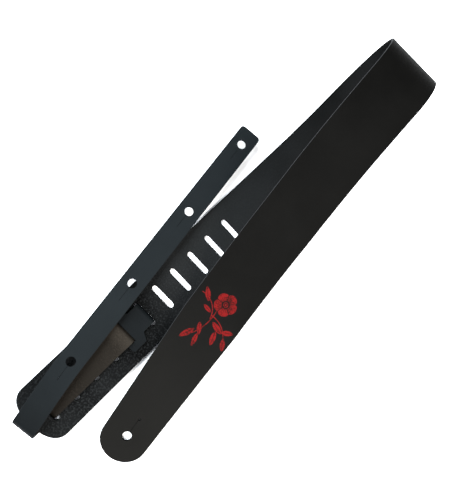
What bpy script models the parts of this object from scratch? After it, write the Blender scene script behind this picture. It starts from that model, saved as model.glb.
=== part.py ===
"""A one-ply leather guitar strap, folded double, with its lacing tail hitched through the slots.

The strap lies on the ground. +Y runs along the rear leg towards the shoulder fold, +X is the rear leg's
right side seen from above and +Z is up. The origin is on the ground under the middle of the strap.
Leather flexes, so each fold is a chain of flat facets that meet at mitred creases. A strap is laid out
flat first, and its side view, a line of straight facets, then carries it into its folded shape.
"""
import math

import bmesh
import bpy
import numpy as np
from mathutils import Vector, geometry

GAP = 0.0003  # clearance between pieces that touch
ORIGIN = (0.01336, 0.19763)  # the layout's own point that the finished part is centred on

# the wide strap, from its slotted rear end over the shoulder fold to its round front tip
STRAP_WIDTH = 0.0635
STRAP_THICKNESS = 0.0028
REAR_END = -0.0698
REAR_END_DEPTH = 0.020
REAR_END_ROUNDNESS = 2.5  # the superellipse's exponent at the rear end
TIP_ROUNDNESS = 2.0  # and at the tip, a true ellipse
SLOT_LENGTH = 0.0305
SLOT_WIDTH = 0.0060
SLOT_PITCH = 0.026
SLOT_FIRST = -0.048
SLOT_COUNT = 11
TIP_WIDTH = 0.050
TIP_DEPTH = 0.022
TAPER_LENGTH = 0.148
BUTTON_HOLE_INSET = 0.027
KEYHOLE_RADIUS = 0.00475
KEYHOLE_REACH = 0.021
SLIT_WIDTH = 0.0012

# the shoulder fold: creases are skewed from square by half the angle between the two legs
SHOULDER_SKEW = math.radians(5.0)
SHOULDER_START = 0.429
SHOULDER_CREASES = 8
SHOULDER_TURN = math.radians(197.5)
SHOULDER_FACET = 0.0225
SHOULDER_LEAN = -0.0155
SHOULDER_LEAN_SPAN = (0.330, 0.720)
FRONT_UPPER = 0.209
FRONT_MIDDLE = 0.040
FRONT_MIDDLE_CREASES = 4
FRONT_EASE = math.radians(12.0)
FRONT_LOWER = (0.0277, 0.024, 0.024, 0.070)
RAMP = (0.095, 0.200)  # the rear leg comes down to the ground between these two places
REAR_STATIONS = (0.26, 0.33, 0.38)  # where the rear leg's edges are stepped as it leans sideways

# the tail, a narrow strap that hitches round a bar between two slots and folds back over the wide end
TAIL_WIDTH = 0.0254
TAIL_THICKNESS = 0.0025
TAIL_CENTRE = -0.0007
TAB_WIDTH = 0.0435
TAB_END = 0.0475
TAB_FLARE = (0.064, 0.070)
TAB_SLIT = (0.0523, 0.0571)
TAB_SLIT_LENGTH = 0.0265
TAB_CORNER = 0.003
TAIL_SKEW = math.radians(4.28)
TAIL_FOLD_START = 0.073
TAIL_FOLD_CREASES = 3
TAIL_FOLD_TURN = math.radians(180.6)
TAIL_FOLD_FACET = 0.00981
TAIL_LEAD = 0.02  # the level stretch before the tail's fold
TAIL_MITRE_REACH = 0.005
TAIL_LEAN = 0.0048
TAIL_LEAN_SPAN = (0.063, 0.173)
TAIL_RUN = (0.186, 0.022, 0.022, 0.1495)
TAIL_KEYHOLE_PITCH = 0.0957
TAIL_KEYHOLE_COUNT = 4
TAIL_KEYHOLE_INSET = 0.0188
TAIL_CORNER = 0.004

GROUND_CLEAR = TAIL_THICKNESS + GAP  # the wide strap rides this high where the tail runs under it
REAR_TOP = GROUND_CLEAR + STRAP_THICKNESS + GAP  # and the tail lies this high on it
CURVE_STEPS = 8

# the hitch's side views, in y and z: the neck goes down through a slot and turns back under the bar, and
# the run comes up through the next slot and the tab's slit, settles on the strap and dives again
NECK = [
    (0.0806, REAR_TOP), (0.0816, 0.0049), (0.0816, 0.0035), (0.0806, TAIL_THICKNESS), (0.0695, TAIL_THICKNESS),
]
CLIMB = [
    (0.0692, TAIL_THICKNESS), (0.0586, TAIL_THICKNESS), (0.05762, 0.00319), (0.05521, 0.00982),
    (0.05324, 0.0112), (0.0462, 0.0112), (0.0376, 0.0084),
]
DIVE = [(-0.04606, 0.0084), (-0.04777, 0.00737), (-0.05003, 0.00312), (-0.05106, TAIL_THICKNESS)]


def leather(name, colour, roughness):
    """Return a leather-coloured Principled material."""
    material = bpy.data.materials.new(name)
    material.use_nodes = True
    shader = material.node_tree.nodes["Principled BSDF"]
    shader.inputs["Base Color"].default_value = (*colour, 1.0)
    shader.inputs["Roughness"].default_value = roughness
    shader.inputs["Metallic"].default_value = 0.0
    return material


def smooth(x):
    """Rise from 0 to 1 along a cubic with level ends."""
    x = np.clip(x, 0.0, 1.0)
    return x * x * (3.0 - 2.0 * x)


class SideView:
    """A strap seen from its side: points joined by straight facets, with mitred offsets at each point."""

    def __init__(self, points, first_along):
        self.points = np.array(points, float)
        steps = np.diff(self.points, axis=0)
        lengths = np.hypot(steps[:, 0], steps[:, 1])
        self.along = first_along + np.concatenate([[0.0], np.cumsum(lengths)])
        normals = np.stack([-steps[:, 1], steps[:, 0]], 1) / lengths[:, None]
        before = np.vstack([normals[:1], normals])
        after = np.vstack([normals, normals[-1:]])
        middle = before + after
        self.mitre = 2.0 * middle / (middle**2).sum(1)[:, None]

    def place(self, along, height):
        """Return how far ahead and how high a point is, from its place along and height off the strap."""
        ahead, up = (
            np.interp(along, self.along, self.points[:, k])
            + height * np.interp(along, self.along, self.mitre[:, k])
            for k in (0, 1)
        )
        return ahead, up


class Fold:
    """A strap folded over creases that lie skewed across it, which turns its direction in plan too."""

    def __init__(self, side, ahead, lean, lean_span):
        self.side = side
        self.ahead = np.array(ahead)
        self.across = np.array([self.ahead[1], -self.ahead[0]])
        self.lean = lean
        self.lean_span = lean_span

    def place(self, flat, height):
        """Carry points of the flat strap, given in plan, onto the folded strap."""
        along = flat @ self.ahead
        start, end = self.lean_span
        across = flat @ self.across + self.lean * smooth((along - start) / (end - start))
        ahead, up = self.side.place(along, height)
        plan = across[:, None] * self.across + ahead[:, None] * self.ahead
        return np.column_stack([plan, up])

    def flat_point(self, x, along):
        """Return the flat strap's point at x from its centre line's zero and at a place along."""
        return (x, (along - x * self.ahead[0]) / self.ahead[1])


class Hitch:
    """The part of the tail that weaves through the slots, square to the wide strap."""

    def __init__(self, side):
        self.side = side

    def place(self, flat, height):
        ahead, up = self.side.place(flat[:, 1], height)
        return np.column_stack([flat[:, 0] + TAIL_CENTRE, ahead, up])


def facets(start, heading, turns, lengths):
    """Return the points of a line that turns at its start and after each facet but the last."""
    headings = heading + np.cumsum(turns)
    steps = np.stack([np.cos(headings), np.sin(headings)], 1) * np.array(lengths)[:, None]
    return np.vstack([[start], np.array(start) + np.cumsum(steps, axis=0)])


def round_end(half_width, depth, exponent):
    """Return x and distance-in for a strap's round end, a superellipse from its right side to its left."""
    angles = np.linspace(0.0, math.pi, 2 * CURVE_STEPS + 1)
    across = np.sign(np.cos(angles)) * np.abs(np.cos(angles)) ** (2.0 / exponent)
    depth_in = 1.0 - np.sin(angles) ** (2.0 / exponent)
    return half_width * across, depth * depth_in


def slot(centre):
    """Return the outline of a crosswise slot with round ends."""
    radius = SLOT_WIDTH / 2.0
    angles = np.radians(np.linspace(-90.0, 90.0, 5))
    right = np.stack([SLOT_LENGTH / 2.0 - radius + radius * np.cos(angles), radius * np.sin(angles)], 1)
    return np.vstack([right, -right]) + [0.0, centre]


def keyhole(x, y, reach):
    """Return the outline of a round hole with a slit that reaches to y + reach."""
    side = math.copysign(1.0, reach)
    half = SLIT_WIDTH / 2.0
    mouth = math.asin(half / KEYHOLE_RADIUS)
    angles = np.linspace(mouth, 2.0 * math.pi - mouth, 2 * CURVE_STEPS)
    ring = KEYHOLE_RADIUS * np.stack([np.sin(angles), side * np.cos(angles)], 1)
    slit = [[-half, reach], [half, reach]]
    return np.vstack([ring, slit]) + [x, y]


def inside(point, loop):
    """Tell whether a point is inside a closed outline."""
    x0, y0 = loop.T
    x1, y1 = np.roll(loop, -1, axis=0).T
    spans = (y0 > point[1]) != (y1 > point[1])
    crossing = x0 + (point[1] - y0) * (x1 - x0) / np.where(spans, y1 - y0, 1.0)
    return bool(np.count_nonzero(spans & (point[0] < crossing)) % 2)


def leather_piece(name, material, outline, holes, cuts, thickness, place):
    """Make one closed solid: a flat outline with holes, creased along the cuts and placed in space."""
    loops = [np.asarray(loop, float) for loop in (outline, *holes)]
    points = [Vector(point) for loop in loops for point in loop]
    edges = []
    first = 0
    for loop in loops:
        edges += [(first + i, first + (i + 1) % len(loop)) for i in range(len(loop))]
        first += len(loop)
    for cut in cuts:
        edges.append((len(points), len(points) + 1))
        points += [Vector(end) for end in cut]
    flat, _, triangles, *_ = geometry.delaunay_2d_cdt(points, edges, [], 0, 1e-7)
    flat = np.array([tuple(point) for point in flat])
    middles = [flat[list(triangle)].mean(axis=0) for triangle in triangles]
    kept = [
        triangle
        for triangle, middle in zip(triangles, middles)
        if inside(middle, loops[0]) and not any(inside(middle, hole) for hole in loops[1:])
    ]
    mesh = bmesh.new()
    low = [mesh.verts.new(point) for point in place(flat, 0.0)]
    high = [mesh.verts.new(point) for point in place(flat, thickness)]
    sides = {}
    for triangle in kept:
        mesh.faces.new([high[i] for i in triangle])
        mesh.faces.new([low[i] for i in reversed(triangle)])
        for i, j in zip(triangle, (*triangle[1:], triangle[0])):
            sides[(i, j)] = (j, i)
    for (i, j), reverse in sides.items():
        if reverse not in sides:
            mesh.faces.new([low[i], low[j], high[j], high[i]])
    loose = [vertex for vertex in mesh.verts if not vertex.link_faces]
    bmesh.ops.delete(mesh, geom=loose, context="VERTS")
    bmesh.ops.recalc_face_normals(mesh, faces=mesh.faces)
    bmesh.ops.translate(mesh, verts=mesh.verts, vec=(-ORIGIN[0], -ORIGIN[1], 0.0))
    data = bpy.data.meshes.new(name)
    mesh.to_mesh(data)
    mesh.free()
    data.materials.append(material)
    piece = bpy.data.objects.new(name, data)
    bpy.context.scene.collection.objects.link(piece)
    return piece


def strap_fold():
    """Return the wide strap's fold, and where along it its folds, its easing bends and its flexes lie."""
    level = [(REAR_END - 0.01, GROUND_CLEAR), (RAMP[0], GROUND_CLEAR), (RAMP[1], 0.0)]
    crease = SHOULDER_TURN / SHOULDER_CREASES
    ease = -FRONT_EASE / FRONT_MIDDLE_CREASES
    turns = [crease] * SHOULDER_CREASES + [ease] * FRONT_MIDDLE_CREASES + [0.0] * (len(FRONT_LOWER) - 1)
    lengths = [SHOULDER_FACET] * (SHOULDER_CREASES - 1) + [FRONT_UPPER]
    lengths += [FRONT_MIDDLE] * (FRONT_MIDDLE_CREASES - 1) + list(FRONT_LOWER)
    points = facets((SHOULDER_START, 0.0), 0.0, turns, lengths)
    side = SideView(np.vstack([level, points]), level[0][0])
    ahead = (-math.sin(SHOULDER_SKEW), math.cos(SHOULDER_SKEW))
    creases = side.along[len(level):]
    first_flex = SHOULDER_CREASES + FRONT_MIDDLE_CREASES
    folds, eases = creases[:SHOULDER_CREASES], creases[SHOULDER_CREASES:first_flex]
    return Fold(side, ahead, SHOULDER_LEAN, SHOULDER_LEAN_SPAN), folds, eases, creases[first_flex:]


def half_width(y, tip):
    """Return the wide strap's half width at y, which narrows towards the tip."""
    reach = np.clip((tip - TIP_DEPTH - y) / TAPER_LENGTH, 0.0, 1.0)
    return TIP_WIDTH / 2.0 + (STRAP_WIDTH - TIP_WIDTH) / 2.0 * reach


def section(fold, edge, stations):
    """Return the outline and the cuts of a strap section whose edges pass through the stations."""
    right = [edge(1.0, along) for along in stations]
    left = [edge(-1.0, along) for along in stations]
    return right + left[::-1], list(zip(right, left))[1:-1]


def make_wide_strap(material):
    """Make the wide strap's sections, from the slotted rear leg to the front tip."""
    fold, folds, eases, flexes = strap_fold()
    tip = flexes[-1] / math.cos(SHOULDER_SKEW)

    def edge(side, along):
        x = side * STRAP_WIDTH / 2.0
        for _ in range(4):
            point = fold.flat_point(x, along)
            x = side * half_width(point[1], tip)
        return point

    x, depth = round_end(STRAP_WIDTH / 2.0, REAR_END_DEPTH, REAR_END_ROUNDNESS)
    end = np.column_stack([x, REAR_END + depth])[::-1]
    stations = [0.0, *fold.side.along[1:3], *REAR_STATIONS, folds[0] - GAP / 2.0]
    outline, cuts = section(fold, edge, stations)
    half = len(stations)
    outline = list(end) + outline[1:half] + outline[half:-1]
    holes = [slot(SLOT_FIRST + SLOT_PITCH * i) for i in range(SLOT_COUNT)]
    leather_piece("rear_leg", material, outline, holes, cuts, STRAP_THICKNESS, fold.place)

    for i, (start, stop) in enumerate(zip(folds, folds[1:]), 1):
        outline, cuts = section(fold, edge, [start + GAP / 2.0, stop - GAP / 2.0])
        leather_piece(f"shoulder_fold_{i}", material, outline, [], cuts, STRAP_THICKNESS, fold.place)

    upper = np.linspace(folds[-1] + GAP / 2.0, eases[0], 5)
    outline, cuts = section(fold, edge, [*upper, *eases[1:], flexes[0] - GAP / 2.0])
    leather_piece("front_leg", material, outline, [], cuts, STRAP_THICKNESS, fold.place)
    for i, (start, stop) in enumerate(zip(flexes, flexes[1:-1]), 1):
        outline, cuts = section(fold, edge, [start + GAP / 2.0, stop - GAP / 2.0])
        leather_piece(f"front_flex_{i}", material, outline, [], cuts, STRAP_THICKNESS, fold.place)

    x, depth = round_end(TIP_WIDTH / 2.0, TIP_DEPTH, TIP_ROUNDNESS)
    start = flexes[-2] + GAP / 2.0
    outline = [*np.column_stack([x, tip - depth]), edge(-1.0, start), edge(1.0, start)]
    hole = keyhole(0.0, tip - BUTTON_HOLE_INSET, -KEYHOLE_REACH)
    leather_piece("front_tip", material, outline, [hole], [], STRAP_THICKNESS, fold.place)


def make_hitch(material):
    """Make the tab with its neck, and the run that passes up through the tab and on under the tail's fold."""
    tab = SideView([(TAB_END, REAR_TOP), *NECK], 0.0)
    last = (-TAIL_FOLD_START - 0.002, TAIL_THICKNESS)
    run = SideView([*CLIMB, *DIVE, last], 0.0)
    half, wide = TAIL_WIDTH / 2.0, TAB_WIDTH / 2.0
    flare = [y - TAB_END for y in TAB_FLARE]
    outline = [
        (-wide + TAB_CORNER, 0.0), (wide - TAB_CORNER, 0.0), (wide, TAB_CORNER), (wide, flare[0]),
        (half, flare[1]), (half, tab.along[-1]), (-half, tab.along[-1]), (-half, flare[1]),
        (-wide, flare[0]), (-wide, TAB_CORNER),
    ]
    low, high = (y - TAB_END for y in TAB_SLIT)
    slit = TAB_SLIT_LENGTH / 2.0
    hole = [(-slit, low), (slit, low), (slit, high), (-slit, high)]
    cuts = [((-half, along), (half, along)) for along in tab.along[1:-1]]
    leather_piece("tail_tab", material, outline, [hole], cuts, TAIL_THICKNESS, Hitch(tab).place)

    fold_line = run.along[-1] + run.points[-1, 0]

    def crease(x):
        along = TAIL_FOLD_START - GAP / 2.0
        return (x, fold_line + (along - (x + TAIL_CENTRE) * math.sin(TAIL_SKEW)) / math.cos(TAIL_SKEW))

    outline = [(-half, 0.0), (half, 0.0), crease(half), crease(-half)]
    cuts = [((-half, along), (half, along)) for along in run.along[1:-1]]
    flat_run = Hitch(run)

    def place(flat, height):
        placed = flat_run.place(flat, height)
        mitre = (TAIL_THICKNESS - height) * math.tan(TAIL_FOLD_TURN / TAIL_FOLD_CREASES / 2.0)
        at_crease = flat[:, 1] > run.along[-2] + TAIL_MITRE_REACH
        placed[:, 1] += np.where(at_crease, mitre, 0.0)
        return placed

    leather_piece("tail_under_run", material, outline, [], cuts, TAIL_THICKNESS, place)


def make_tail_fold(material):
    """Make the tail's fold and its top run with the keyholes."""
    crease = TAIL_FOLD_TURN / TAIL_FOLD_CREASES
    turns = [crease] * TAIL_FOLD_CREASES + [0.0] * (len(TAIL_RUN) - 1)
    lengths = [TAIL_FOLD_FACET] * (TAIL_FOLD_CREASES - 1) + list(TAIL_RUN)
    points = facets((TAIL_FOLD_START, 0.0), 0.0, turns, lengths)
    start = TAIL_FOLD_START - TAIL_LEAD
    side = SideView(np.vstack([[start, 0.0], points]), start)
    ahead = (math.sin(TAIL_SKEW), -math.cos(TAIL_SKEW))
    fold = Fold(side, ahead, TAIL_LEAN, TAIL_LEAN_SPAN)
    creases = side.along[1:]
    end = fold.flat_point(TAIL_CENTRE, creases[-1])[1]

    def edge(side_sign, along):
        return fold.flat_point(TAIL_CENTRE + side_sign * TAIL_WIDTH / 2.0, along)

    holes = [
        keyhole(TAIL_CENTRE, end + TAIL_KEYHOLE_INSET + TAIL_KEYHOLE_PITCH * i, KEYHOLE_REACH)
        for i in range(TAIL_KEYHOLE_COUNT)
    ]
    names = [f"tail_fold_{i}" for i in range(1, TAIL_FOLD_CREASES)] + ["tail_run_lower"]
    names += [f"tail_flex_{i}" for i in range(1, len(TAIL_RUN) - 1)]
    for name, start, stop in zip(names, creases, creases[1:]):
        long_run = name == "tail_run_lower"
        stations = np.linspace(start + GAP / 2.0, stop - GAP / 2.0, 5 if long_run else 2)
        outline, cuts = section(fold, edge, stations)
        leather_piece(name, material, outline, holes[2:] if long_run else [], cuts, TAIL_THICKNESS, fold.place)

    half = TAIL_WIDTH / 2.0
    start = creases[-2] + GAP / 2.0
    free_end = [
        (TAIL_CENTRE - half, end + TAIL_CORNER), (TAIL_CENTRE - half + TAIL_CORNER, end),
        (TAIL_CENTRE + half - TAIL_CORNER, end), (TAIL_CENTRE + half, end + TAIL_CORNER),
    ]
    outline = [*free_end, edge(1.0, start), edge(-1.0, start)]
    leather_piece("tail_free_end", material, outline, holes[:2], [], TAIL_THICKNESS, fold.place)


for old in list(bpy.data.objects):
    bpy.data.objects.remove(old, do_unlink=True)

make_wide_strap(leather("strap_leather", (0.018, 0.018, 0.017), 0.5))
make_hitch(leather("hitch_leather", (0.035, 0.031, 0.028), 0.6))
make_tail_fold(leather("tail_leather", (0.024, 0.027, 0.030), 0.5))
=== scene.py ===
"""A black leather guitar strap, folded double, with its tail laced through the wide strap's slots."""
import math

import bpy
import numpy as np
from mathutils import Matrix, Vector, geometry


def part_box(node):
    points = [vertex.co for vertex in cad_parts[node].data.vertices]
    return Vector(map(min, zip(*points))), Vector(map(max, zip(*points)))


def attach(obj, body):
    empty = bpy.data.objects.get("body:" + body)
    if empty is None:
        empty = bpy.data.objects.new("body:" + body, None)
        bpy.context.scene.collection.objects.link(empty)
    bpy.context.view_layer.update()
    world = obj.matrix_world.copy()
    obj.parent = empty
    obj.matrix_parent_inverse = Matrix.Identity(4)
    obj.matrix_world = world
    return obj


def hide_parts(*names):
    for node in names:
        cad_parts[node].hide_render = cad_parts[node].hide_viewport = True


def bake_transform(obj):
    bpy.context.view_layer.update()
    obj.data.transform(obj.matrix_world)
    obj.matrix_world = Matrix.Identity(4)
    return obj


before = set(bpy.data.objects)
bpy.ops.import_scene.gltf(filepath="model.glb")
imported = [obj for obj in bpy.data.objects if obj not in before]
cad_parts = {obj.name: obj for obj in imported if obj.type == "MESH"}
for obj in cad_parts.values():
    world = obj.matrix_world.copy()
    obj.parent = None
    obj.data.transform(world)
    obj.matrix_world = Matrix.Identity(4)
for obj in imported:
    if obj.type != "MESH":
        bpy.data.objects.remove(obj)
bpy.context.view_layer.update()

# ---------------------------------------------------------------------------------------------------------
# 1. The wide strap: one strip of black vegetable-tanned cowhide, 2.8 mm thick. It is die-cut with a row of
# crosswise slots at its rear end and a button hole at its round tip, and its cut edges are eased by hand.
# It lies folded double at the shoulder, with the smooth grain side outermost and the flesh side inside.
# ---------------------------------------------------------------------------------------------------------
STRAP_WIDTH, STRAP_THICKNESS = 0.0635, 0.0028
REAR_END, REAR_END_DEPTH, REAR_END_ROUNDNESS, TIP_ROUNDNESS = -0.0698, 0.020, 2.5, 2.0
TIP_WIDTH, TIP_DEPTH, TAPER_LENGTH, TIP_MEAN_WIDTH = 0.050, 0.022, 0.148, 0.056
SLOT_LENGTH, SLOT_WIDTH, SLOT_PITCH, SLOT_FIRST, SLOT_COUNT = 0.0305, 0.0060, 0.026, -0.048, 11
BUTTON_HOLE_INSET, BUTTON_HOLE_RADIUS = 0.027, 0.00475
SLIT_REACH, SLIT_WIDTH, SLIT_NOTCH = 0.021, 0.00003, 0.0016  # a closed knife cut, and the front one's end
STRAP_EASING = 0.0004  # how far the knife's corners are rounded off along each cut edge
STRAP_ROW, STRAP_COLUMNS = 0.0022, 21  # spacing of the mesh's rows, and points across each
ROOM = 0.0011  # the mesh's rows keep this far from an outline's own points
ROWS_PAST, ENDS_GAP = 0.002, 0.001  # rows run on past both ends, and side points stop before the round ends

rear_low, rear_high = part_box("rear_leg")
STRAP_ZERO = np.array([rear_high.x - STRAP_WIDTH / 2, rear_low.y - REAR_END])  # the flat strap's zero


def smooth(x):
    """Rise from 0 to 1 along a cubic with level ends."""
    x = np.clip(x, 0.0, 1.0)
    return x * x * (3.0 - 2.0 * x)


class SideLine:
    """A strap's line seen from its side: straight runs through the corners given, joined by round bends.

    The line's heading turns evenly over each bend, from one reach before its corner to one reach after, and
    a point on the line is the running sum of its steps.
    """

    STEP = 0.0001
    SPARE = 0.003  # how far the line runs on past its last corner

    def __init__(self, corners, first_along, reach):
        steps = np.diff(np.array(corners, float), axis=0)
        lengths = np.hypot(steps[:, 0], steps[:, 1])
        headings = np.unwrap(np.arctan2(steps[:, 1], steps[:, 0]))
        turns = np.diff(headings)
        self.corners = first_along + np.concatenate([[0.0], np.cumsum(lengths)])
        reaches = np.minimum(reach, np.minimum(lengths[:-1], lengths[1:]) / 2.0)
        self.along = np.arange(first_along, self.corners[-1] + self.SPARE, self.STEP)
        share = (self.along[:, None] - self.corners[1:-1] + reaches) / (2.0 * reaches)
        self.heading = headings[0] + (np.clip(share, 0.0, 1.0) * turns).sum(1)
        half = np.maximum(np.abs(turns) / 2.0, 1e-6)
        pace = 1.0 + (((share > 0.0) & (share < 1.0)) * (half / np.tan(half) - 1.0)).sum(1)
        heading, pace = (self.heading[1:] + self.heading[:-1]) / 2.0, (pace[1:] + pace[:-1]) / 2.0
        moves = self.STEP * pace[:, None] * np.stack([np.cos(heading), np.sin(heading)], 1)
        self.points = np.array(corners[0]) + np.vstack([[0.0, 0.0], np.cumsum(moves, axis=0)])

    def place(self, along, height):
        """Return how far ahead and how high a point is: the line's point plus the height along its normal."""
        heading = np.interp(along, self.along, self.heading)
        ahead = np.interp(along, self.along, self.points[:, 0]) - height * np.sin(heading)
        up = np.interp(along, self.along, self.points[:, 1]) + height * np.cos(heading)
        return ahead, up


class Fold:
    """A flat strap carried along a side line with skewed bends, and leaning slowly sideways."""

    def __init__(self, line, ahead, lean, lean_span, zero):
        self.line, self.lean, self.lean_span, self.zero = line, lean, lean_span, np.array(zero)
        self.ahead = np.array(ahead)
        self.across = np.array([self.ahead[1], -self.ahead[0]])

    def place(self, flat, height):
        """Carry flat points to space: across stays across, and the way along follows the side line."""
        along = flat @ self.ahead
        start, end = self.lean_span
        across = flat @ self.across + self.lean * smooth((along - start) / (end - start))
        ahead, up = self.line.place(along, height)
        plan = across[:, None] * self.across + ahead[:, None] * self.ahead + self.zero
        return np.column_stack([plan, up])

    def flat_points(self, x, along):
        """Return the flat strap's points at x where the way along has the value given."""
        return np.column_stack([x, (along - x * self.ahead[0]) / self.ahead[1]])

    def middle(self, along, height):
        """Return a point of space on the side line itself."""
        ahead, up = self.line.place(np.array([along]), height)
        plan = ahead[0] * self.ahead + self.zero
        return (float(plan[0]), float(plan[1]), float(up[0]))


def facets(start, turns, lengths):
    """Return the corners of a line that turns at its start and after each facet but the last."""
    headings = np.cumsum(turns)
    steps = np.stack([np.cos(headings), np.sin(headings)], 1) * np.array(lengths)[:, None]
    return np.vstack([[start], np.array(start) + np.cumsum(steps, axis=0)])


# the shoulder fold turns the strap by 197.5 degrees in eight bends, and the front leg eases back by 12
SHOULDER_SKEW, SHOULDER_TURN, SHOULDER_BENDS = math.radians(5.0), math.radians(197.5), 8
SHOULDER_START, SHOULDER_PITCH = 0.429, 0.0225
FRONT_UPPER, FRONT_MIDDLE, FRONT_EASE, FRONT_EASES = 0.209, 0.040, math.radians(12.0), 4
FRONT_LOWER = (0.0277, 0.024, 0.024, 0.070)
SHOULDER_LEAN, SHOULDER_LEAN_SPAN = -0.0155, (0.330, 0.720)
GROUND_CLEAR = 0.0028  # the strap rides this high where the tail runs under it
RAMP = (0.095, 0.200)  # and comes down to the ground between these two places
LINE_START = REAR_END - 0.01
BEND_REACH = 0.020
END_BEND_REACH = 0.012  # half of each bend between the front end's sections

strap_corners = [(LINE_START, GROUND_CLEAR), (RAMP[0], GROUND_CLEAR), (RAMP[1], 0.0)]
strap_turns = [SHOULDER_TURN / SHOULDER_BENDS] * SHOULDER_BENDS
strap_turns += [-FRONT_EASE / FRONT_EASES] * FRONT_EASES + [0.0] * (len(FRONT_LOWER) - 1)
strap_lengths = [SHOULDER_PITCH] * (SHOULDER_BENDS - 1) + [FRONT_UPPER]
strap_lengths += [FRONT_MIDDLE] * (FRONT_EASES - 1) + list(FRONT_LOWER)
strap_corners = np.vstack([strap_corners, facets((SHOULDER_START, 0.0), strap_turns, strap_lengths)])
strap_line = SideLine(strap_corners, LINE_START, BEND_REACH)
strap_ahead = (-math.sin(SHOULDER_SKEW), math.cos(SHOULDER_SKEW))
strap_fold = Fold(strap_line, strap_ahead, SHOULDER_LEAN, SHOULDER_LEAN_SPAN, STRAP_ZERO)
creases = strap_line.corners[3:]
shoulder_creases = creases[:SHOULDER_BENDS]
front_creases = creases[SHOULDER_BENDS + FRONT_EASES:-1]
STRAP_TIP = creases[-1] / math.cos(SHOULDER_SKEW)


def half_width(y):
    """Return the wide strap's half width at y, which narrows evenly towards the tip."""
    share = np.clip((STRAP_TIP - TIP_DEPTH - y) / TAPER_LENGTH, 0.0, 1.0)
    return TIP_WIDTH / 2.0 + (STRAP_WIDTH - TIP_WIDTH) / 2.0 * share


def strap_points(share, along):
    """Return flat points at a share of the half width, from -1 to 1, on the row at that place along."""
    x = share * STRAP_WIDTH / 2.0
    for _ in range(4):
        flat = strap_fold.flat_points(x, along)
        x = share * half_width(flat[:, 1])
    return flat


def round_end(half, depth, roundness, points=49):
    """Return x and the distance in for a strap's end, a superellipse from its right side to its left."""
    angles = np.linspace(0.0, math.pi, points)
    across = np.sign(np.cos(angles)) * np.abs(np.cos(angles)) ** (2.0 / roundness)
    return half * across, depth * (1.0 - np.sin(angles) ** (2.0 / roundness))


def slot(y):
    """Return a crosswise slot's outline: two straight sides joined by half circles."""
    radius = SLOT_WIDTH / 2.0
    angles = np.radians(np.linspace(-90.0, 90.0, 11))
    cap = np.stack([SLOT_LENGTH / 2.0 - radius + radius * np.cos(angles), radius * np.sin(angles)], 1)
    side = np.stack([np.linspace(SLOT_LENGTH / 2.0 - radius, radius - SLOT_LENGTH / 2.0, 10)[1:-1],
                     np.full(8, radius)], 1)
    return np.vstack([cap, side, -cap, -side]) + [0.0, y]


def keyhole(x, y, reach, notch=0.0):
    """Return a button hole's outline: a circle, with a knife slit from it that may end in a small notch."""
    side, half = math.copysign(1.0, reach), SLIT_WIDTH / 2.0
    mouth = math.asin(half / BUTTON_HOLE_RADIUS)
    angles = np.linspace(mouth, 2.0 * math.pi - mouth, 40)
    ring = BUTTON_HOLE_RADIUS * np.stack([np.sin(angles), side * np.cos(angles)], 1)
    down = np.linspace(side * BUTTON_HOLE_RADIUS, reach, 10)[1:]
    left = np.stack([np.full(9, -half), down], 1)
    right = np.stack([np.full(9, half), down[::-1]], 1)
    end = [[half + notch, reach + side * notch * 0.2], [half + notch, reach - side * notch * 0.6]]
    return np.vstack([ring, left, end if notch else np.empty((0, 2)), right[1 if notch else 0:]]) + [x, y]


def rows_between(stops, spacing):
    """Return evenly spaced places between each pair of stops, the stops among them."""
    runs = [
        np.linspace(a, b, max(2, int(math.ceil((b - a) / spacing)) + 1))[:-1]
        for a, b in zip(stops, stops[1:])
    ]
    return np.concatenate([*runs, [stops[-1]]])


def inside(points, loop):
    """Tell which points lie in a closed outline, by the number of its sides to their right."""
    within = np.zeros(len(points), bool)
    for (x0, y0), (x1, y1) in zip(loop, np.roll(loop, -1, axis=0)):
        spans = (y0 > points[:, 1]) != (y1 > points[:, 1])
        crossing = x0 + (points[:, 1] - y0) * (x1 - x0) / (y1 - y0 if y1 != y0 else 1.0)
        within ^= spans & (points[:, 0] < crossing)
    return within


def clearance(points, loop):
    """Return each point's distance from the nearest corner of an outline."""
    nearest = np.full(len(points), np.inf)
    for corner in loop:
        nearest = np.minimum(nearest, np.hypot(points[:, 0] - corner[0], points[:, 1] - corner[1]))
    return nearest


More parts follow.
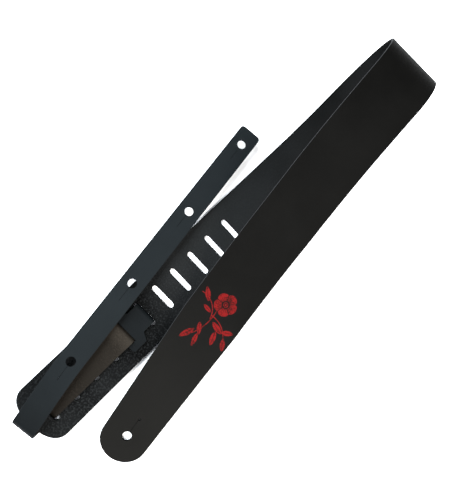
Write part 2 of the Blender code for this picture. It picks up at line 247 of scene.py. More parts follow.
class Cutting:
    """A strap as it is cut flat: its outline, its holes and rows of points, joined into triangles.

    The outline of the flat faces is the cut one drawn in by the easing. Rows named as cuts become edges,
    so that the strap can be parted there. The station tells how far along the strap a flat point is.
    """

    SHARPEST = 0.8  # keeps the mitre of a sharp corner short

    def __init__(self, outline, holes, rows, cuts, easing, station):
        self.station, self.easing = station, easing
        self.loops = [self.wound(outline, 1.0)] + [self.wound(hole, -1.0) for hole in holes]
        self.rim = np.vstack(self.loops)
        self.out = np.vstack([self.outward(loop) for loop in self.loops])
        inner = self.rim - self.easing * self.out
        self.next_on_rim = np.concatenate(
            [first + np.roll(np.arange(len(loop)), -1) for first, loop in zip(self.firsts(), self.loops)]
        )
        bounds = [inner[f:f + len(loop)] for f, loop in zip(self.firsts(), self.loops)]
        filling = np.vstack(rows)
        kept = inside(filling, bounds[0])
        for loop in bounds:
            kept &= clearance(filling, loop) > ROOM
        for loop in bounds[1:]:
            kept &= ~inside(filling, loop)
        where = np.full(len(filling), -1)
        where[kept] = len(inner) + np.arange(kept.sum())
        edges = [(i, int(j)) for i, j in enumerate(self.next_on_rim)]
        starts = np.concatenate([[0], np.cumsum([len(row) for row in rows])])
        for k in cuts:
            ids = [int(i) for i in where[starts[k]:starts[k + 1]] if i >= 0]
            row = rows[k]
            ends = [int(np.argmin(np.hypot(*(self.loops[0] - p).T))) for p in (row[0], row[-1])]
            chain = [ends[0], *ids, ends[1]]
            edges += list(zip(chain, chain[1:]))
        points = [Vector(p) for p in np.vstack([inner, filling[kept]])]
        flat, _, triangles, origins, *_ = geometry.delaunay_2d_cdt(points, edges, [], 0, 1e-8)
        self.flat = np.array([tuple(p) for p in flat])
        triangles = np.array(triangles)
        middles = self.flat[triangles].mean(axis=1)
        kept = inside(middles, bounds[0])
        for loop in bounds[1:]:
            kept &= ~inside(middles, loop)
        self.triangles = triangles[kept]
        self.rim_of = np.full(len(self.flat), -1)
        for v, names in enumerate(origins):
            for name in names:
                if name < len(inner):
                    self.rim_of[v] = name

    @staticmethod
    def wound(loop, sign):
        """Return the outline anticlockwise for sign 1, and clockwise for sign -1."""
        x, y = loop.T
        area = (x * np.roll(y, -1) - np.roll(x, -1) * y).sum()
        return loop if area * sign > 0 else loop[::-1]

    @staticmethod
    def outward(loop):
        """Return the mitred direction out of the leather at each corner of its outline."""
        step = np.roll(loop, -1, axis=0) - loop
        step /= np.hypot(step[:, 0], step[:, 1])[:, None]
        normal = np.stack([step[:, 1], -step[:, 0]], 1)
        both = normal + np.roll(normal, 1, axis=0)
        return 2.0 * both / np.maximum((both**2).sum(1), Cutting.SHARPEST)[:, None]

    def firsts(self):
        """Return where each outline starts in the list of all outlines' corners."""
        return np.concatenate([[0], np.cumsum([len(loop) for loop in self.loops])[:-1]])


def leather_piece(name, cutting, start, end, place, thickness, material):
    """Make the closed piece of a cutting that lies between two stations, placed in space.

    Its flesh and grain faces are the flat triangles at full height and at none. Three narrow bands round
    each cut edge join them, and plain quads close the two ends that meet the next pieces. It carries its
    flat place as a UV map, 1 for flesh, and 1 on the outline's edge but -1 on the edges of its holes.
    """
    flat, rim_of, easing = cutting.flat, cutting.rim_of, cutting.easing
    stations = cutting.station(flat[cutting.triangles].mean(axis=1))
    triangles = cutting.triangles[(stations > start) & (stations < end)]
    count, rim_count = len(flat), len(cutting.rim)
    edges = np.vstack([triangles[:, [0, 1]], triangles[:, [1, 2]], triangles[:, [2, 0]]])
    codes = edges[:, 0] * count + edges[:, 1]
    edges = edges[~np.isin(edges[:, 1] * count + edges[:, 0], codes)]
    a, b = rim_of[edges[:, 0]], rim_of[edges[:, 1]]
    on_rim = (a >= 0) & (b >= 0) & ((cutting.next_on_rim[a] == b) | (cutting.next_on_rim[b] == a))
    i, j = edges[on_rim].T
    a, b = a[on_rim], b[on_rim]
    low, upper, lower = count, 2 * count, 2 * count + rim_count
    bands = [
        np.stack([upper + a, upper + b, j, i], 1),
        np.stack([lower + a, lower + b, upper + b, upper + a], 1),
        np.stack([low + i, low + j, lower + b, lower + a], 1),
    ]
    i, j = edges[~on_rim].T
    caps = [np.stack([low + i, low + j, j, i], 1)]
    at_i, at_j = i[rim_of[i] >= 0], j[rim_of[j] >= 0]
    caps.append(np.stack([low + at_i, at_i, upper + rim_of[at_i], lower + rim_of[at_i]], 1))
    caps.append(np.stack([at_j, low + at_j, lower + rim_of[at_j], upper + rim_of[at_j]], 1))
    faces = [triangles, low + triangles[:, ::-1], *bands, *caps]
    used = np.unique(np.concatenate([f.ravel() for f in faces]))
    compact = np.full(2 * count + 2 * rim_count, -1)
    compact[used] = np.arange(len(used))

    plan = np.vstack([flat, flat, cutting.rim, cutting.rim])[used]
    height = np.concatenate(
        [np.full(count, thickness), np.zeros(count),
         np.full(rim_count, thickness - easing), np.full(rim_count, easing)]
    )[used]
    outward = np.vstack([np.zeros((2 * count, 2)), cutting.out, cutting.out])[used]
    facing = np.concatenate(
        [np.ones(count), -np.ones(count), np.full(rim_count, 0.5), np.full(rim_count, -0.5)]
    )[used]
    small = 2e-4  # the surface's directions are differences over this far either way
    along_x = place(plan + [small, 0.0], height) - place(plan - [small, 0.0], height)
    along_y = place(plan + [0.0, small], height) - place(plan - [0.0, small], height)
    up = np.cross(along_x, along_y)
    up /= np.linalg.norm(up, axis=1)[:, None]
    sideways = (outward[:, :1] * along_x + outward[:, 1:] * along_y) / (2.0 * small)
    normals = facing[:, None] * up + sideways
    normals /= np.linalg.norm(normals, axis=1)[:, None]

    mesh = bpy.data.meshes.new(name)
    polygons = [face.tolist() for group in faces for face in compact[group]]
    mesh.from_pydata(place(plan, height).tolist(), [], polygons)
    corners = np.zeros(len(mesh.loops), int)
    mesh.loops.foreach_get("vertex_index", corners)
    mesh.uv_layers.new(name="flat").data.foreach_set("uv", plan[corners].ravel())
    outline_count = len(cutting.loops[0])
    rim_kind = np.where(np.arange(rim_count) < outline_count, 1.0, -1.0)
    edge = np.concatenate([np.zeros(2 * count), rim_kind, rim_kind])[used]
    for label, values in (("flesh", facing > 0), ("edge", edge)):
        layer = mesh.attributes.new(label, "FLOAT", "POINT")
        layer.data.foreach_set("value", values.astype(np.float32))
    mesh.shade_smooth()
    mesh.normals_split_custom_set_from_vertices(normals.tolist())
    mesh.materials.append(material)
    piece = bpy.data.objects.new(name, mesh)
    bpy.context.scene.collection.objects.link(piece)
    return piece


class Finish:
    """A material's socket. Sums, products and powers written on it add their Math nodes."""

    def __init__(self, material, socket=None):
        self.material, self.socket = material, socket

    def node(self, kind, inputs=None, output=0, stops=None, **settings):
        """Add a node of any kind with its settings, its ramp's stops, and its sockets' values or links."""
        made = self.material.node_tree.nodes.new("ShaderNode" + kind)
        for setting, value in settings.items():
            setattr(made, setting, value)
        if stops:
            ramp = made.color_ramp.elements
            while len(ramp) < len(stops):
                ramp.new(0.5)
            for element, (place, value) in zip(ramp, stops):
                element.position = place
                element.color = (value, value, value, 1.0)
        for name, value in (inputs or {}).items():
            if isinstance(value, Finish):
                self.material.node_tree.links.new(value.socket, made.inputs[name])
            else:
                made.inputs[name].default_value = value
        return Finish(self.material, made.outputs[output])

    def maths(self, operation, *others):
        values = dict(enumerate((self, *others)))
        return self.node("Math", values, operation=operation)

    def __add__(self, other):
        return self.maths("ADD", other)

    def __sub__(self, other):
        return self.maths("SUBTRACT", other)

    def __mul__(self, other):
        return self.maths("MULTIPLY", other)

    def __truediv__(self, other):
        return self.maths("DIVIDE", other)

    def __pow__(self, other):
        return self.maths("POWER", other)

    def __rsub__(self, other):
        return (self * -1.0) + other

    __radd__, __rmul__ = __add__, __mul__

    def step(self, low, high):
        """Rise smoothly from 0 at low to 1 at high."""
        return self.node(
            "MapRange", {"Value": self, "From Min": low, "From Max": high}, interpolation_type="SMOOTHSTEP"
        )

    def mix(self, first, second):
        """Mix two colours, by this socket's value."""
        return self.node("Mix", {"Factor": self, 6: first, 7: second}, output=2, data_type="RGBA")


def new_finish(name, specular=0.5):
    """Start a material, and return its finish with its shader."""
    material = bpy.data.materials.new(name)
    material.use_nodes = True
    shader = material.node_tree.nodes["Principled BSDF"]
    shader.inputs["Specular IOR Level"].default_value = specular
    return Finish(material), shader


def connect(shader, name, value):
    """Feed one of the shader's sockets."""
    value.material.node_tree.links.new(value.socket, shader.inputs[name])


def shades(colour, darkest, palest):
    """Return a colour made darker and paler, as shares of it, for painted light and shade or for wear."""
    return [(*[c * share for c in colour], 1.0) for share in (darkest, palest)]


def leather_finish(name, grain_colour, flesh_colour, edge_colour, look, specular, decorate=None):
    """Dyed leather: a fine pebbled grain on one side, napped fibres on the other, and burnished cut edges.

    The grain is small cells with pores, crossed by faint creases. The flesh side is matted fibre clumps.
    Slow noise shifts the dye's depth and the gloss, as handling does, and the look's ramps paint light and
    shade into the grain's and flesh's colour. The edges of holes and slits are painted dark, as the shade
    in the cuts.
    """
    finish, shader = new_finish(name, specular)
    flat = finish.node("UVMap", uv_map="flat")
    flesh = finish.node("Attribute", attribute_name="flesh", output=2)
    edge = finish.node("Attribute", attribute_name="edge", output=2)

    def noise(scale, detail=3.0, roughness=0.55, vector=flat, distortion=0.0):
        return finish.node("TexNoise", {"Vector": vector, "Scale": scale, "Detail": detail,
                                        "Roughness": roughness, "Distortion": distortion})

    handling = noise(14.0, 4.0)
    cells = finish.node("TexVoronoi", {"Vector": flat, "Scale": 900.0}, feature="DISTANCE_TO_EDGE")
    grain = cells.step(0.0, 0.22) * 0.5 + noise(420.0, 4.0) * 0.8
    creasing = noise(60.0, 5.0, 0.65, distortion=1.2)
    fibres = noise(520.0, 5.0, 0.7)
    clumps = noise(500.0, 4.0, 0.65, distortion=0.15)
    nap = clumps.step(0.45, 0.58)
    matted, grain_shading_and_tone, flesh_shading_and_tone = look(finish, flat, noise)

    grain_shading_and_tone = grain_shading_and_tone + (handling - 0.5) * 0.5
    # painted light and shade: grain and flesh mix between darker and paler copies of their colour
    grain_shade = grain_shading_and_tone.mix(*shades(grain_colour, 0.25, 1.75))
    flesh_shading_and_tone = (flesh_shading_and_tone + (handling - 0.5) * 0.4) * (1.0 - (1.0 - nap) * matted)
    flesh_shade = flesh_shading_and_tone.mix(*shades(flesh_colour, 0.08, 1.92))
    shade = flesh.mix(grain_shade, flesh_shade)
    if decorate:
        shade = decorate(finish, flat, noise, flesh, shade)
    shade = edge.step(0.45, 0.95).mix(shade, (*edge_colour, 1.0))
    # painted shade: the rims of holes and of the closed knife slits are painted near black
    shade = (edge * -1.0).step(0.2, 0.9).mix(shade, shades(grain_colour, 0.25, 1.0)[0])
    connect(shader, "Base Color", shade)

    gloss = 0.46 + handling * 0.16 + grain * 0.05
    matt = 0.66 + fibres * 0.22
    roughness = gloss * (1.0 - flesh) + matt * flesh
    connect(shader, "Roughness", roughness + edge.maths("ABSOLUTE") * 0.15)

    relief = (grain * 0.00006 + creasing * 0.00010) * (1.0 - flesh)
    relief = relief + (fibres * 0.00012 + nap * matted * 0.00085) * flesh
    bump = finish.node("Bump", {"Height": relief, "Distance": 1.0, "Strength": 0.85})
    connect(shader, "Normal", bump)
    return finish.material


# shares of the rear leg's length for the first two, and of the way from the fold to the tip for the third
MATTED = [(0.0, 0.75), (0.18, 0.9), (0.24, 1.0), (0.31, 1.0), (0.37, 0.4), (0.5, 0.15), (0.9, 0.15)]
# painted sheen and shade on the flesh side: paler by the slots, darker near the tab, darkest in the fold
FLESH_SHEEN_AND_SHADE = [
    (0.0, 0.80), (0.14, 0.75), (0.22, 0.52), (0.31, 0.50),
    (0.42, 0.80), (0.56, 0.82), (0.72, 0.50), (0.9, 0.28),
]
# painted shade and light on the front leg's grain: darkest at the fold, paler towards the tip
GRAIN_LIGHT_AND_SHADE = [(0.0, 0.0), (0.2, 0.22), (0.7, 0.46), (0.85, 0.85), (1.0, 0.95)]


def strap_look(finish, flat, noise):
    """Return how matted the strap's flesh side is, and the light and shade painted on its grain and flesh.

    The flesh side is coarsest at the rear end and smoothest by the open slots, where a sheen is painted on
    it as paler colour. It is darker near the tab, and darkest up in the fold, painted shade under the loop.
    The grain side is painted darkest by the fold, as shade where it faces away from the light, and paler
    towards the round tip, as painted light.
    """
    along = finish.node("SeparateXYZ", {"Vector": flat}, output=1)
    rear, front = (along - REAR_END) * 2.0, (along - SHOULDER_START) / (STRAP_TIP - SHOULDER_START)
    matted = rear.node("ValToRGB", {"Fac": rear}, stops=MATTED)
    flesh_shading_and_tone = rear.node("ValToRGB", {"Fac": rear}, stops=FLESH_SHEEN_AND_SHADE)
    grain_shading_and_tone = front.node("ValToRGB", {"Fac": front}, stops=GRAIN_LIGHT_AND_SHADE)
    patches = noise(22.0, 2.0).step(0.35, 0.65)
    return matted * (patches * 0.35 + 0.65), grain_shading_and_tone, flesh_shading_and_tone


# the print: a flower sprig screen-printed in red on the front leg, worn by rubbing
PRINT_PLACE = (0.0, STRAP_TIP - 0.178)
PRINT_RED = (0.104, 0.0048, 0.0048)
# in millimetres and degrees, x across the leg and y towards its tip
BLOSSOM = (2.5, -15.5)
LEAVES = [
    (-19.5, -14.0, 48.0, 8.5, 2.9), (-11.0, -1.5, 15.0, 6.0, 2.3), (-13.5, 31.0, 118.0, 9.5, 3.2),
    (-5.5, 20.0, 60.0, 7.5, 2.7), (-2.5, 32.5, 80.0, 8.0, 2.6), (9.5, 9.5, 20.0, 8.5, 3.2),
    (21.5, 8.0, -25.0, 7.5, 2.9), (25.0, 20.5, 60.0, 7.5, 2.8), (12.5, 20.5, 75.0, 8.5, 3.1),
]
STEMS = [(-48.0, 2.0, 47.0, -10.0, 48.0), (-24.0, 9.0, 22.0, -95.0, -8.0), (-2.0, 30.0, 28.0, -92.0, -25.0)]


def sprig(finish, flat, noise, flesh, shade):
    """Lay the sprig's red over the leather: a round blossom, a curved stem, leaves and a bud."""
    x, y = (finish.node("SeparateXYZ", {"Vector": flat}, output=k) for k in (0, 1))
    wobble = (noise(330.0, 2.0) - 0.5) * 0.0010
    x = (x - PRINT_PLACE[0] + wobble) * 1000.0
    y = (y - PRINT_PLACE[1] + wobble) * 1000.0

    def around(cx, cy, turn=0.0):
        """Return the distances along and across an axis through a centre."""
        c, s = math.cos(math.radians(turn)), math.sin(math.radians(turn))
        return (x - cx) * c + (y - cy) * s, (y - cy) * c - (x - cx) * s

    def length(p, q):
        return (p * p + q * q) ** 0.5

    def leaf(cx, cy, turn, long, wide, rib=0.35):
        """A pointed leaf, where its parabola sides meet, with a bare rib along its middle."""
        p, q = around(cx, cy, turn)
        q = q.maths("ABSOLUTE")
        side = (1.0 - p * p * (1.0 / long**2)) * wide
        return (side - q).step(0.0, 0.35) * (q - rib + 0.3).step(0.0, 0.3)

    def stem(cx, cy, radius, start, end, width=0.55):
        """A stretch of a thin ring, between two angles in degrees."""
        p, q = around(cx, cy, (start + end) / 2.0)
        angle = q.maths("ARCTAN2", p).maths("ABSOLUTE")
        ring = (length(p, q) - radius).maths("ABSOLUTE")
        reach = math.radians(end - start) / 2.0
        return (width - ring).step(-0.15, 0.25) * (reach - angle).step(-0.01, 0.02)

    def union(*masks):
        whole = masks[0]
        for mask in masks[1:]:
            whole = whole.maths("MAXIMUM", mask)
        return whole

    # the blossom: five petals parted by thin bare lines round a ringed middle
    p, q = around(*BLOSSOM)
    radius, angle = length(p, q), q.maths("ARCTAN2", p)
    lobes = (angle * 2.5).maths("COSINE").maths("ABSOLUTE")
    petals = (lobes ** 0.35 * 4.2 + 8.6 - radius).step(0.0, 0.4)
    partings = (lobes * radius - 0.85).step(-0.2, 0.35)
    veins = ((angle * 22.5).maths("COSINE") + (radius - 7.5) * 0.55).step(-1.0, 0.1)
    middle = (3.0 - radius).step(0.0, 0.4) * (radius - 1.5).maths("ABSOLUTE").step(0.15, 0.5)
    gap = (radius - 4.0).step(0.0, 0.4)
    blossom = (petals * partings * gap * (veins * 0.5 + 0.5)).maths("MAXIMUM", middle)
    leaves = union(*[leaf(*shape) for shape in LEAVES])
    stems = union(*[stem(*shape) for shape in STEMS])
    drawing = union(blossom, leaves, stems) * (1.0 - flesh)
    worn = (noise(560.0, 4.0, 0.7) * 0.6 + noise(120.0, 3.0) * 0.4).step(0.36, 0.56)
    ink = drawing * (worn * 0.75 + 0.25) * 0.92
    red = worn.mix(*shades(PRINT_RED, 0.6, 1.0))
    return ink.mix(shade, red)


# the flesh side's paler, bluish colour is partly its own napped tone and partly a painted sheen
STRAP_GRAIN, STRAP_FLESH_AND_SHEEN = (0.0033, 0.0032, 0.0029), (0.0070, 0.0075, 0.0076)
STRAP_EDGE = (0.026, 0.027, 0.028)
strap_leather = leather_finish(
    "strap_leather", STRAP_GRAIN, STRAP_FLESH_AND_SHEEN, STRAP_EDGE, strap_look, specular=0.016, decorate=sprig
)

shoulder_cuts = [shoulder_creases[0] - SHOULDER_PITCH / 2.0, *(shoulder_creases + SHOULDER_PITCH / 2.0)]
front_cuts = [front_creases[0] - END_BEND_REACH, *(front_creases + END_BEND_REACH)]
strap_cuts = shoulder_cuts + front_cuts
strap_rows = rows_between([REAR_END - ROWS_PAST, *strap_cuts, creases[-1] + ROWS_PAST], STRAP_ROW)
shares = np.linspace(-1.0, 1.0, STRAP_COLUMNS)
strap_grid = [strap_points(shares, np.full(STRAP_COLUMNS, along)) for along in strap_rows]
sides = []
for end in (-1, 0):
    side = np.array([row[end] for row in strap_grid])
    y = side[:, 1]
    sides.append(side[(y > REAR_END + REAR_END_DEPTH + ENDS_GAP) & (y < STRAP_TIP - TIP_DEPTH - ENDS_GAP)])
tip_x, tip_in = round_end(TIP_WIDTH / 2.0, TIP_DEPTH, TIP_ROUNDNESS)
rear_x, rear_in = round_end(STRAP_WIDTH / 2.0, REAR_END_DEPTH, REAR_END_ROUNDNESS)
strap_outline = np.vstack(
    [
        sides[0],
        np.column_stack([tip_x, STRAP_TIP - tip_in]),
        sides[1][::-1],
        np.column_stack([rear_x, REAR_END + rear_in])[::-1],
    ]
)
strap_holes = [slot(SLOT_FIRST + SLOT_PITCH * k) for k in range(SLOT_COUNT)]
strap_holes.append(keyhole(0.0, STRAP_TIP - BUTTON_HOLE_INSET, -SLIT_REACH, notch=SLIT_NOTCH))
cut_rows = [int(np.argmin(np.abs(strap_rows - cut))) for cut in strap_cuts]
strap_cutting = Cutting(
    strap_outline, strap_holes, strap_grid, cut_rows, STRAP_EASING, lambda flat: flat @ strap_fold.ahead
)


SWELL, SWELL_RISE = 0.00012, 0.08


def strap_place(flat, height):
    """Carry the flat strap to its fold, with the slow unevenness of a hide, two sums of sines."""
    x, y = flat.T
    swell = np.sin(61.0 * y + 1.3) * np.sin(44.0 * x + 17.0 * y) + np.sin(97.0 * y - 38.0 * x)
    lift = SWELL * (2.0 + swell) * smooth((y - RAMP[1]) / SWELL_RISE)
    return strap_fold.place(flat, height + lift)


def bend(piece, fold, before, after, start, end, thickness):
    """Bake a piece's place into its mesh; it stays as it lies, and is not bent or joined to the bodies named.
    """
    first, last = (fold.middle(along, thickness / 2) for along in (start, end))
    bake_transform(piece)


strap_limits = [-math.inf, *strap_cuts, math.inf]
strap_bodies = ["rear", *[f"shoulder_fold_{k}" for k in range(1, SHOULDER_BENDS)], "front_leg"]
strap_bodies += ["front_flex_1", "front_flex_2", "front_tip"]


def strap_piece(name, section, nodes, body=None, between=None):
    """Make one section of the wide strap: one riding on a body, or a bend section left where it lies."""
    start, end = strap_limits[section], strap_limits[section + 1]
    piece = leather_piece(name, strap_cutting, start, end, strap_place, STRAP_THICKNESS, strap_leather)
    if between:
        bend(piece, strap_fold, *between, start, end, STRAP_THICKNESS)
    else:
        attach(piece, body)
    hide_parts(*nodes)
    length = min(end, creases[-1]) - max(start, REAR_END)
    return piece


strap_piece("rear_leg", 0, ["rear_leg"], body="rear")
for k in range(SHOULDER_BENDS):
    node = [f"shoulder_fold_{k + 1}"] if k < SHOULDER_BENDS - 1 else []
    strap_piece(f"shoulder_bend_{k + 1}", k + 1, node, between=strap_bodies[k:k + 2])
strap_piece("front_leg", SHOULDER_BENDS + 1, ["front_leg"], body="front_leg")
for k in range(3):
    node = [f"front_flex_{k + 1}"] if k < 2 else []
    pair = strap_bodies[SHOULDER_BENDS + k:SHOULDER_BENDS + k + 2]
    strap_piece(f"front_bend_{k + 1}", SHOULDER_BENDS + 2 + k, node, between=pair)
strap_piece("front_tip", SHOULDER_BENDS + 5, ["front_tip"], body="front_tip")

# ---------------------------------------------------------------------------------------------------------
# 2. The tail: a second strip of the same hide, 25.4 mm wide and 2.5 mm thick, with a wider tab at its
# inner end. The tab's neck goes down through a slot, the strip comes back up through the next slot and
# through the tab's own slit, runs along the strap, dives through the last slot and folds back over it all.
# ---------------------------------------------------------------------------------------------------------
TAIL_WIDTH, TAIL_THICKNESS, TAIL_CENTRE = 0.0254, 0.0025, -0.0007
TAB_WIDTH, TAB_END, TAB_FLARE, TAB_CORNER = 0.0435, 0.0475, (0.064, 0.070), 0.003
TAB_SLIT, TAB_SLIT_LENGTH = (0.0523, 0.0571), 0.0265
TAIL_SKEW, TAIL_TURN, TAIL_BENDS = math.radians(4.28), math.radians(180.6), 3
TAIL_FOLD_START, TAIL_PITCH = 0.073, 0.00981
TAIL_RUN = (0.186, 0.022, 0.022, 0.1495)
TAIL_LEAN, TAIL_LEAN_SPAN = 0.0048, (0.063, 0.173)
TAIL_LEAD = 0.02  # the level stretch before the tail's fold
TAIL_BEND_REACH = 0.011
KEYHOLE_PITCH, KEYHOLE_COUNT, KEYHOLE_INSET, TAIL_CORNER = 0.0957, 4, 0.0188, 0.004
TAIL_EASING = 0.00035
REAR_TOP = 0.0059  # the height of the wide strap's upper face, which the tab lies on
HITCH_REACH = 0.006
LEVEL = -0.0570  # behind this the tail lies flat on the ground, up to its fold
LEVEL_OVERLAP, LEVEL_MARGIN = 0.0005, 0.002  # the hitch's rows end, and its stations, this far behind it
TAIL_COLUMNS = 11
HITCH_ROW, FOLD_ROW, RUN_ROW = 0.0007, 0.0012, 0.0025  # spacing of the mesh's rows along the tail
FOLD_ROWS_FROM, FOLD_MARGIN = 0.0605, 0.012  # where the fold's rows start, and how far they pass its last cut
NECK_STRETCH = 0.0102  # from the neck's foot to where the tab's piece ends under the bar
SIDE_GAP = 0.0003  # the tail's side points keep this far from its corners' arcs
TAB_MEAN_WIDTH, SHORTEST_SHEET = 0.034, 0.010

# the flesh side's line in y and z: over the tab, down its neck, under the bar, up, along and down again
hitch_corners = [
    (TAB_END, REAR_TOP), (0.0814, REAR_TOP), (0.0824, 0.0049), (0.0824, 0.0035), (0.0814, TAIL_THICKNESS),
    (0.0586, TAIL_THICKNESS), (0.05762, 0.00319), (0.05521, 0.00982), (0.05324, 0.0112),
    (0.0462, 0.0112), (0.0376, 0.0084), (-0.04606, 0.0084), (-0.04777, 0.00737), (-0.05003, 0.00312),
    (-0.05106, TAIL_THICKNESS), (-0.080, TAIL_THICKNESS),
]
NECK_FOOT, CREST = 4, 8  # two of those corners: where the neck turns level, and where the run comes up
hitch_line = SideLine(hitch_corners, 0.0, HITCH_REACH)
HITCH_END = hitch_corners[-2][0] + hitch_line.corners[-2]  # a flat y is this less the way along

tail_turns = [TAIL_TURN / TAIL_BENDS] * TAIL_BENDS + [0.0] * (len(TAIL_RUN) - 1)
tail_lengths = [TAIL_PITCH] * (TAIL_BENDS - 1) + list(TAIL_RUN)
tail_start = TAIL_FOLD_START - TAIL_LEAD
tail_corners = np.vstack(
    [[tail_start, 0.0], facets((TAIL_FOLD_START, 0.0), tail_turns, tail_lengths)]
)
tail_line = SideLine(tail_corners, tail_start, BEND_REACH)
tail_ahead = (math.sin(TAIL_SKEW), -math.cos(TAIL_SKEW))
tail_fold = Fold(tail_line, tail_ahead, TAIL_LEAN, TAIL_LEAN_SPAN, STRAP_ZERO)
tail_creases = tail_line.corners[1:]
tail_end = float(tail_fold.flat_points(np.array([TAIL_CENTRE]), tail_creases[-1])[0, 1])


def tail_place(flat, height):
    """Carry the flat tail to its hitch or, behind the wide strap's end, to its own fold."""
    ahead, up = hitch_line.place(HITCH_END - flat[:, 1], TAIL_THICKNESS - height)
    hitched = np.column_stack([flat[:, 0] + STRAP_ZERO[0], ahead + STRAP_ZERO[1], up])
    return np.where((flat[:, 1] > LEVEL)[:, None], hitched, tail_fold.place(flat, height))


def tail_station(flat):
    """Return the way along the tail: straight down it to its level stretch, and skewed from there."""
    return np.where(flat[:, 1] > LEVEL - LEVEL_MARGIN, -flat[:, 1], flat @ tail_fold.ahead)


# shares of the tail's length, from its free end to its tab, for its grain's painted sheen
TAIL_SHEEN_RAMP = [(0.0, 0.42), (0.3, 0.52), (0.5, 0.55), (0.62, 0.24), (0.7, 0.2), (0.9, 0.18), (1.0, 0.15)]


def tail_look(finish, flat, noise):
    """Return how matted the tail's flesh side is, and the light and shade painted on its grain and flesh.

    The nap is even. The flesh is darker towards the fold, and painted pale as a highlight where it comes up
    through the tab's slit. The grain side is darkest at the tab, and carries a painted sheen along the run,
    palest above the slots.
    """
    along = finish.node("SeparateXYZ", {"Vector": flat}, output=1)
    from_end = (along - tail_end) / (HITCH_END - tail_end)
    even = noise(35.0, 2.0).step(0.3, 0.7)
    grain_shading_and_tone = from_end.node("ValToRGB", {"Fac": from_end}, stops=TAIL_SHEEN_RAMP)
    # painted highlight: the flesh is paler where the run climbs through the tab's slit
    slit_highlight = 1.0 - ((HITCH_END - hitch_line.corners[CREST]) - along).maths("ABSOLUTE").step(0.002, 0.018)
    flesh_shading_and_tone = even * 0.15 + along.step(-0.08, 0.08) * 0.3 + 0.25
    return even * 0.35, grain_shading_and_tone, flesh_shading_and_tone + slit_highlight * 0.35


# the tail's bluer, paler grain is partly its own blue-black dye and partly a painted sheen
TAIL_GRAIN_AND_SHEEN, TAIL_FLESH = (0.0047, 0.0062, 0.0070), (0.0088, 0.0073, 0.0056)
TAIL_EDGE = (0.009, 0.010, 0.011)
tail_leather = leather_finish("tail_leather", TAIL_GRAIN_AND_SHEEN, TAIL_FLESH, TAIL_EDGE, tail_look, specular=0.040)


def tail_half_width(y):
    """Return the tail's half width at a flat y: the tab's, narrowing over its flare to the strip's."""
    into = HITCH_END - y
    share = np.clip((into - TAB_FLARE[0] + TAB_END) / (TAB_FLARE[1] - TAB_FLARE[0]), 0.0, 1.0)
    return TAB_WIDTH / 2.0 + (TAIL_WIDTH - TAB_WIDTH) / 2.0 * smooth(share)


def corner_arc(x, y, radius, start):
    """Return a quarter circle about a point, from a starting angle in degrees."""
    angles = np.radians(np.linspace(start, start + 90.0, 7))
    return np.stack([x + radius * np.cos(angles), y + radius * np.sin(angles)], 1)


neck_cut = HITCH_END - (hitch_line.corners[NECK_FOOT] + NECK_STRETCH)
fold_cuts = [tail_creases[0] - TAIL_PITCH / 2.0, *(tail_creases[:TAIL_BENDS] + TAIL_PITCH / 2.0)]
end_cuts = [tail_creases[TAIL_BENDS] - TAIL_BEND_REACH, *(tail_creases[TAIL_BENDS:-1] + TAIL_BEND_REACH)]
columns = np.linspace(-1.0, 1.0, TAIL_COLUMNS)
hitch_rows = rows_between([LEVEL - LEVEL_OVERLAP, neck_cut, HITCH_END], HITCH_ROW)[::-1]
tail_grid = [
    np.column_stack([TAIL_CENTRE + columns * tail_half_width(y), np.full(TAIL_COLUMNS, y)])
    for y in hitch_rows
]
fold_rows_end = fold_cuts[-1] + FOLD_MARGIN
skew_rows = np.concatenate([
    rows_between([FOLD_ROWS_FROM, *fold_cuts, fold_rows_end], FOLD_ROW),
    rows_between([fold_rows_end, *end_cuts, tail_creases[-1]], RUN_ROW)[1:],
])
tail_grid += [
    tail_fold.flat_points(TAIL_CENTRE + columns * TAIL_WIDTH / 2.0, np.full(TAIL_COLUMNS, along))
    for along in skew_rows
]
left, right = (np.array([row[end] for row in tail_grid]) for end in (0, -1))
left, right = (
    side[(side[:, 1] < HITCH_END - TAB_CORNER - SIDE_GAP) & (side[:, 1] > tail_end + TAIL_CORNER + SIDE_GAP)]
    for side in (left, right)
)
tab_x, strip_x = TAB_WIDTH / 2.0 - TAB_CORNER, TAIL_WIDTH / 2.0 - TAIL_CORNER
tail_outline = np.vstack(
    [
        corner_arc(TAIL_CENTRE + tab_x, HITCH_END - TAB_CORNER, TAB_CORNER, 0.0),
        corner_arc(TAIL_CENTRE - tab_x, HITCH_END - TAB_CORNER, TAB_CORNER, 90.0),
        left,
        corner_arc(TAIL_CENTRE - strip_x, tail_end + TAIL_CORNER, TAIL_CORNER, 180.0),
        corner_arc(TAIL_CENTRE + strip_x, tail_end + TAIL_CORNER, TAIL_CORNER, 270.0),
        right[::-1],
    ]
)
slit_y = HITCH_END - np.array(TAB_SLIT) + TAB_END
slit_x = np.linspace(-TAB_SLIT_LENGTH / 2.0, TAB_SLIT_LENGTH / 2.0, 12)
slit_sides = [
    np.column_stack([x, np.full(len(x), y)]) for x, y in ((slit_x, slit_y[1]), (slit_x[::-1], slit_y[0]))
]
first_keyhole = tail_end + KEYHOLE_INSET
tail_holes = [np.vstack(slit_sides) + [TAIL_CENTRE, 0.0]]
tail_holes += [
    keyhole(TAIL_CENTRE, first_keyhole + KEYHOLE_PITCH * k, SLIT_REACH) for k in range(KEYHOLE_COUNT)
]
tail_rows = np.concatenate([-hitch_rows, skew_rows])
tail_cuts = [-neck_cut, *fold_cuts, *end_cuts]
tail_cutting = Cutting(
    tail_outline,
    tail_holes,
    tail_grid,
    [int(np.argmin(np.abs(tail_rows - cut))) for cut in tail_cuts],
    TAIL_EASING,
    tail_station,
)
tail_limits = [-math.inf, *tail_cuts, math.inf]
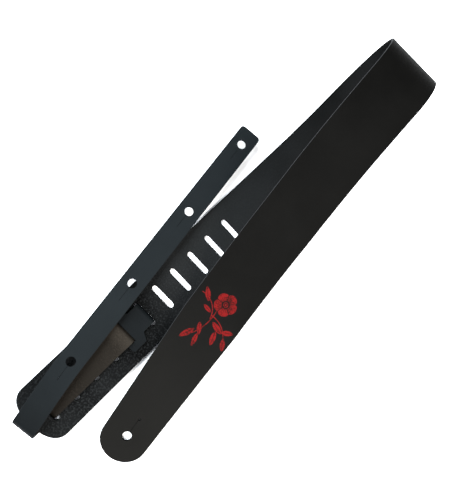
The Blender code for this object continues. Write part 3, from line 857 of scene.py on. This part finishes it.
tail_plan = [
    ("tail_tab", ["tail_tab"], "rear", None),
    ("tail_under_run", ["tail_under_run"], "rear", None),
    ("tail_bend_1", ["tail_fold_1"], None, ("rear", "tail_fold_1")),
    ("tail_bend_2", ["tail_fold_2"], None, ("tail_fold_1", "tail_fold_2")),
    ("tail_bend_3", [], None, ("tail_fold_2", "tail_run_lower")),
    ("tail_run_lower", ["tail_run_lower"], "tail_run_lower", None),
    ("tail_end_bend_1", ["tail_flex_1"], None, ("tail_run_lower", "tail_flex_1")),
    ("tail_end_bend_2", ["tail_flex_2"], None, ("tail_flex_1", "tail_flex_2")),
    ("tail_end_bend_3", [], None, ("tail_flex_2", "tail_free_end")),
    ("tail_free_end", ["tail_free_end"], "tail_free_end", None),
]
for section, (name, nodes, body, between) in enumerate(tail_plan):
    start, end = tail_limits[section], tail_limits[section + 1]
    piece = leather_piece(name, tail_cutting, start, end, tail_place, TAIL_THICKNESS, tail_leather)
    if between:
        bend(piece, tail_fold, *between, start, end, TAIL_THICKNESS)
    else:
        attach(piece, body)
    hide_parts(*nodes)
    length = max(SHORTEST_SHEET, min(end, tail_creases[-1]) - max(start, -HITCH_END))

# ---------------------------------------------------------------------------------------------------------
# 3. The table it lies on, the studio's soft lights and the camera.
# ---------------------------------------------------------------------------------------------------------
FLOOR_HALF = 12.0
floor_corners = [(x * FLOOR_HALF, y * FLOOR_HALF, 0.0) for x, y in ((-1, -1), (1, -1), (1, 1), (-1, 1))]
floor_mesh = bpy.data.meshes.new("floor")
floor_mesh.from_pydata(floor_corners, [], [(0, 1, 2, 3)])
floor = bpy.data.objects.new("floor", floor_mesh)
bpy.context.scene.collection.objects.link(floor)
floor_finish, floor_shader = new_finish("floor_paper", 0.1)
floor_shader.inputs["Base Color"].default_value = (0.95, 0.95, 0.95, 1.0)
floor_shader.inputs["Roughness"].default_value = 1.0
floor_mesh.materials.append(floor_finish.material)

world = bpy.data.worlds.new("studio")
world.use_nodes = True
world.node_tree.nodes["Background"].inputs["Color"].default_value = (0.90, 0.95, 1.0, 1.0)
world.node_tree.nodes["Background"].inputs["Strength"].default_value = 0.60
bpy.context.scene.world = world


def lamp(name, place, aim, size, power, colour):
    """Hang a square soft lamp that faces a point."""
    data = bpy.data.lights.new(name, "AREA")
    data.shape, data.size, data.energy, data.color = "SQUARE", size, power, colour
    made = bpy.data.objects.new(name, data)
    made.location = place
    made.rotation_euler = (Vector(aim) - Vector(place)).to_track_quat("-Z", "Y").to_euler()
    bpy.context.scene.collection.objects.link(made)


lamp("key", (-1.70, -0.50, 1.60), (0.0, -0.05, 0.0), 2.2, 250.0, (0.90, 0.95, 1.0))
lamp("fill", (2.00, -0.50, 1.90), (0.0, 0.0, 0.0), 2.4, 215.0, (1.0, 0.96, 0.92))

camera_data = bpy.data.cameras.new("camera")
camera_data.sensor_fit, camera_data.sensor_width, camera_data.lens = "HORIZONTAL", 36.0, 36.0
camera_data.clip_start, camera_data.clip_end = 0.01, 50.0
camera = bpy.data.objects.new("camera", camera_data)
camera.location = (-0.05386, -0.10293, 0.4847)
camera.rotation_euler = (math.radians(3.54), math.radians(-12.32), math.radians(45.9))
bpy.context.scene.collection.objects.link(camera)
bpy.context.scene.camera = camera
bpy.context.scene.view_settings.view_transform = "Standard"
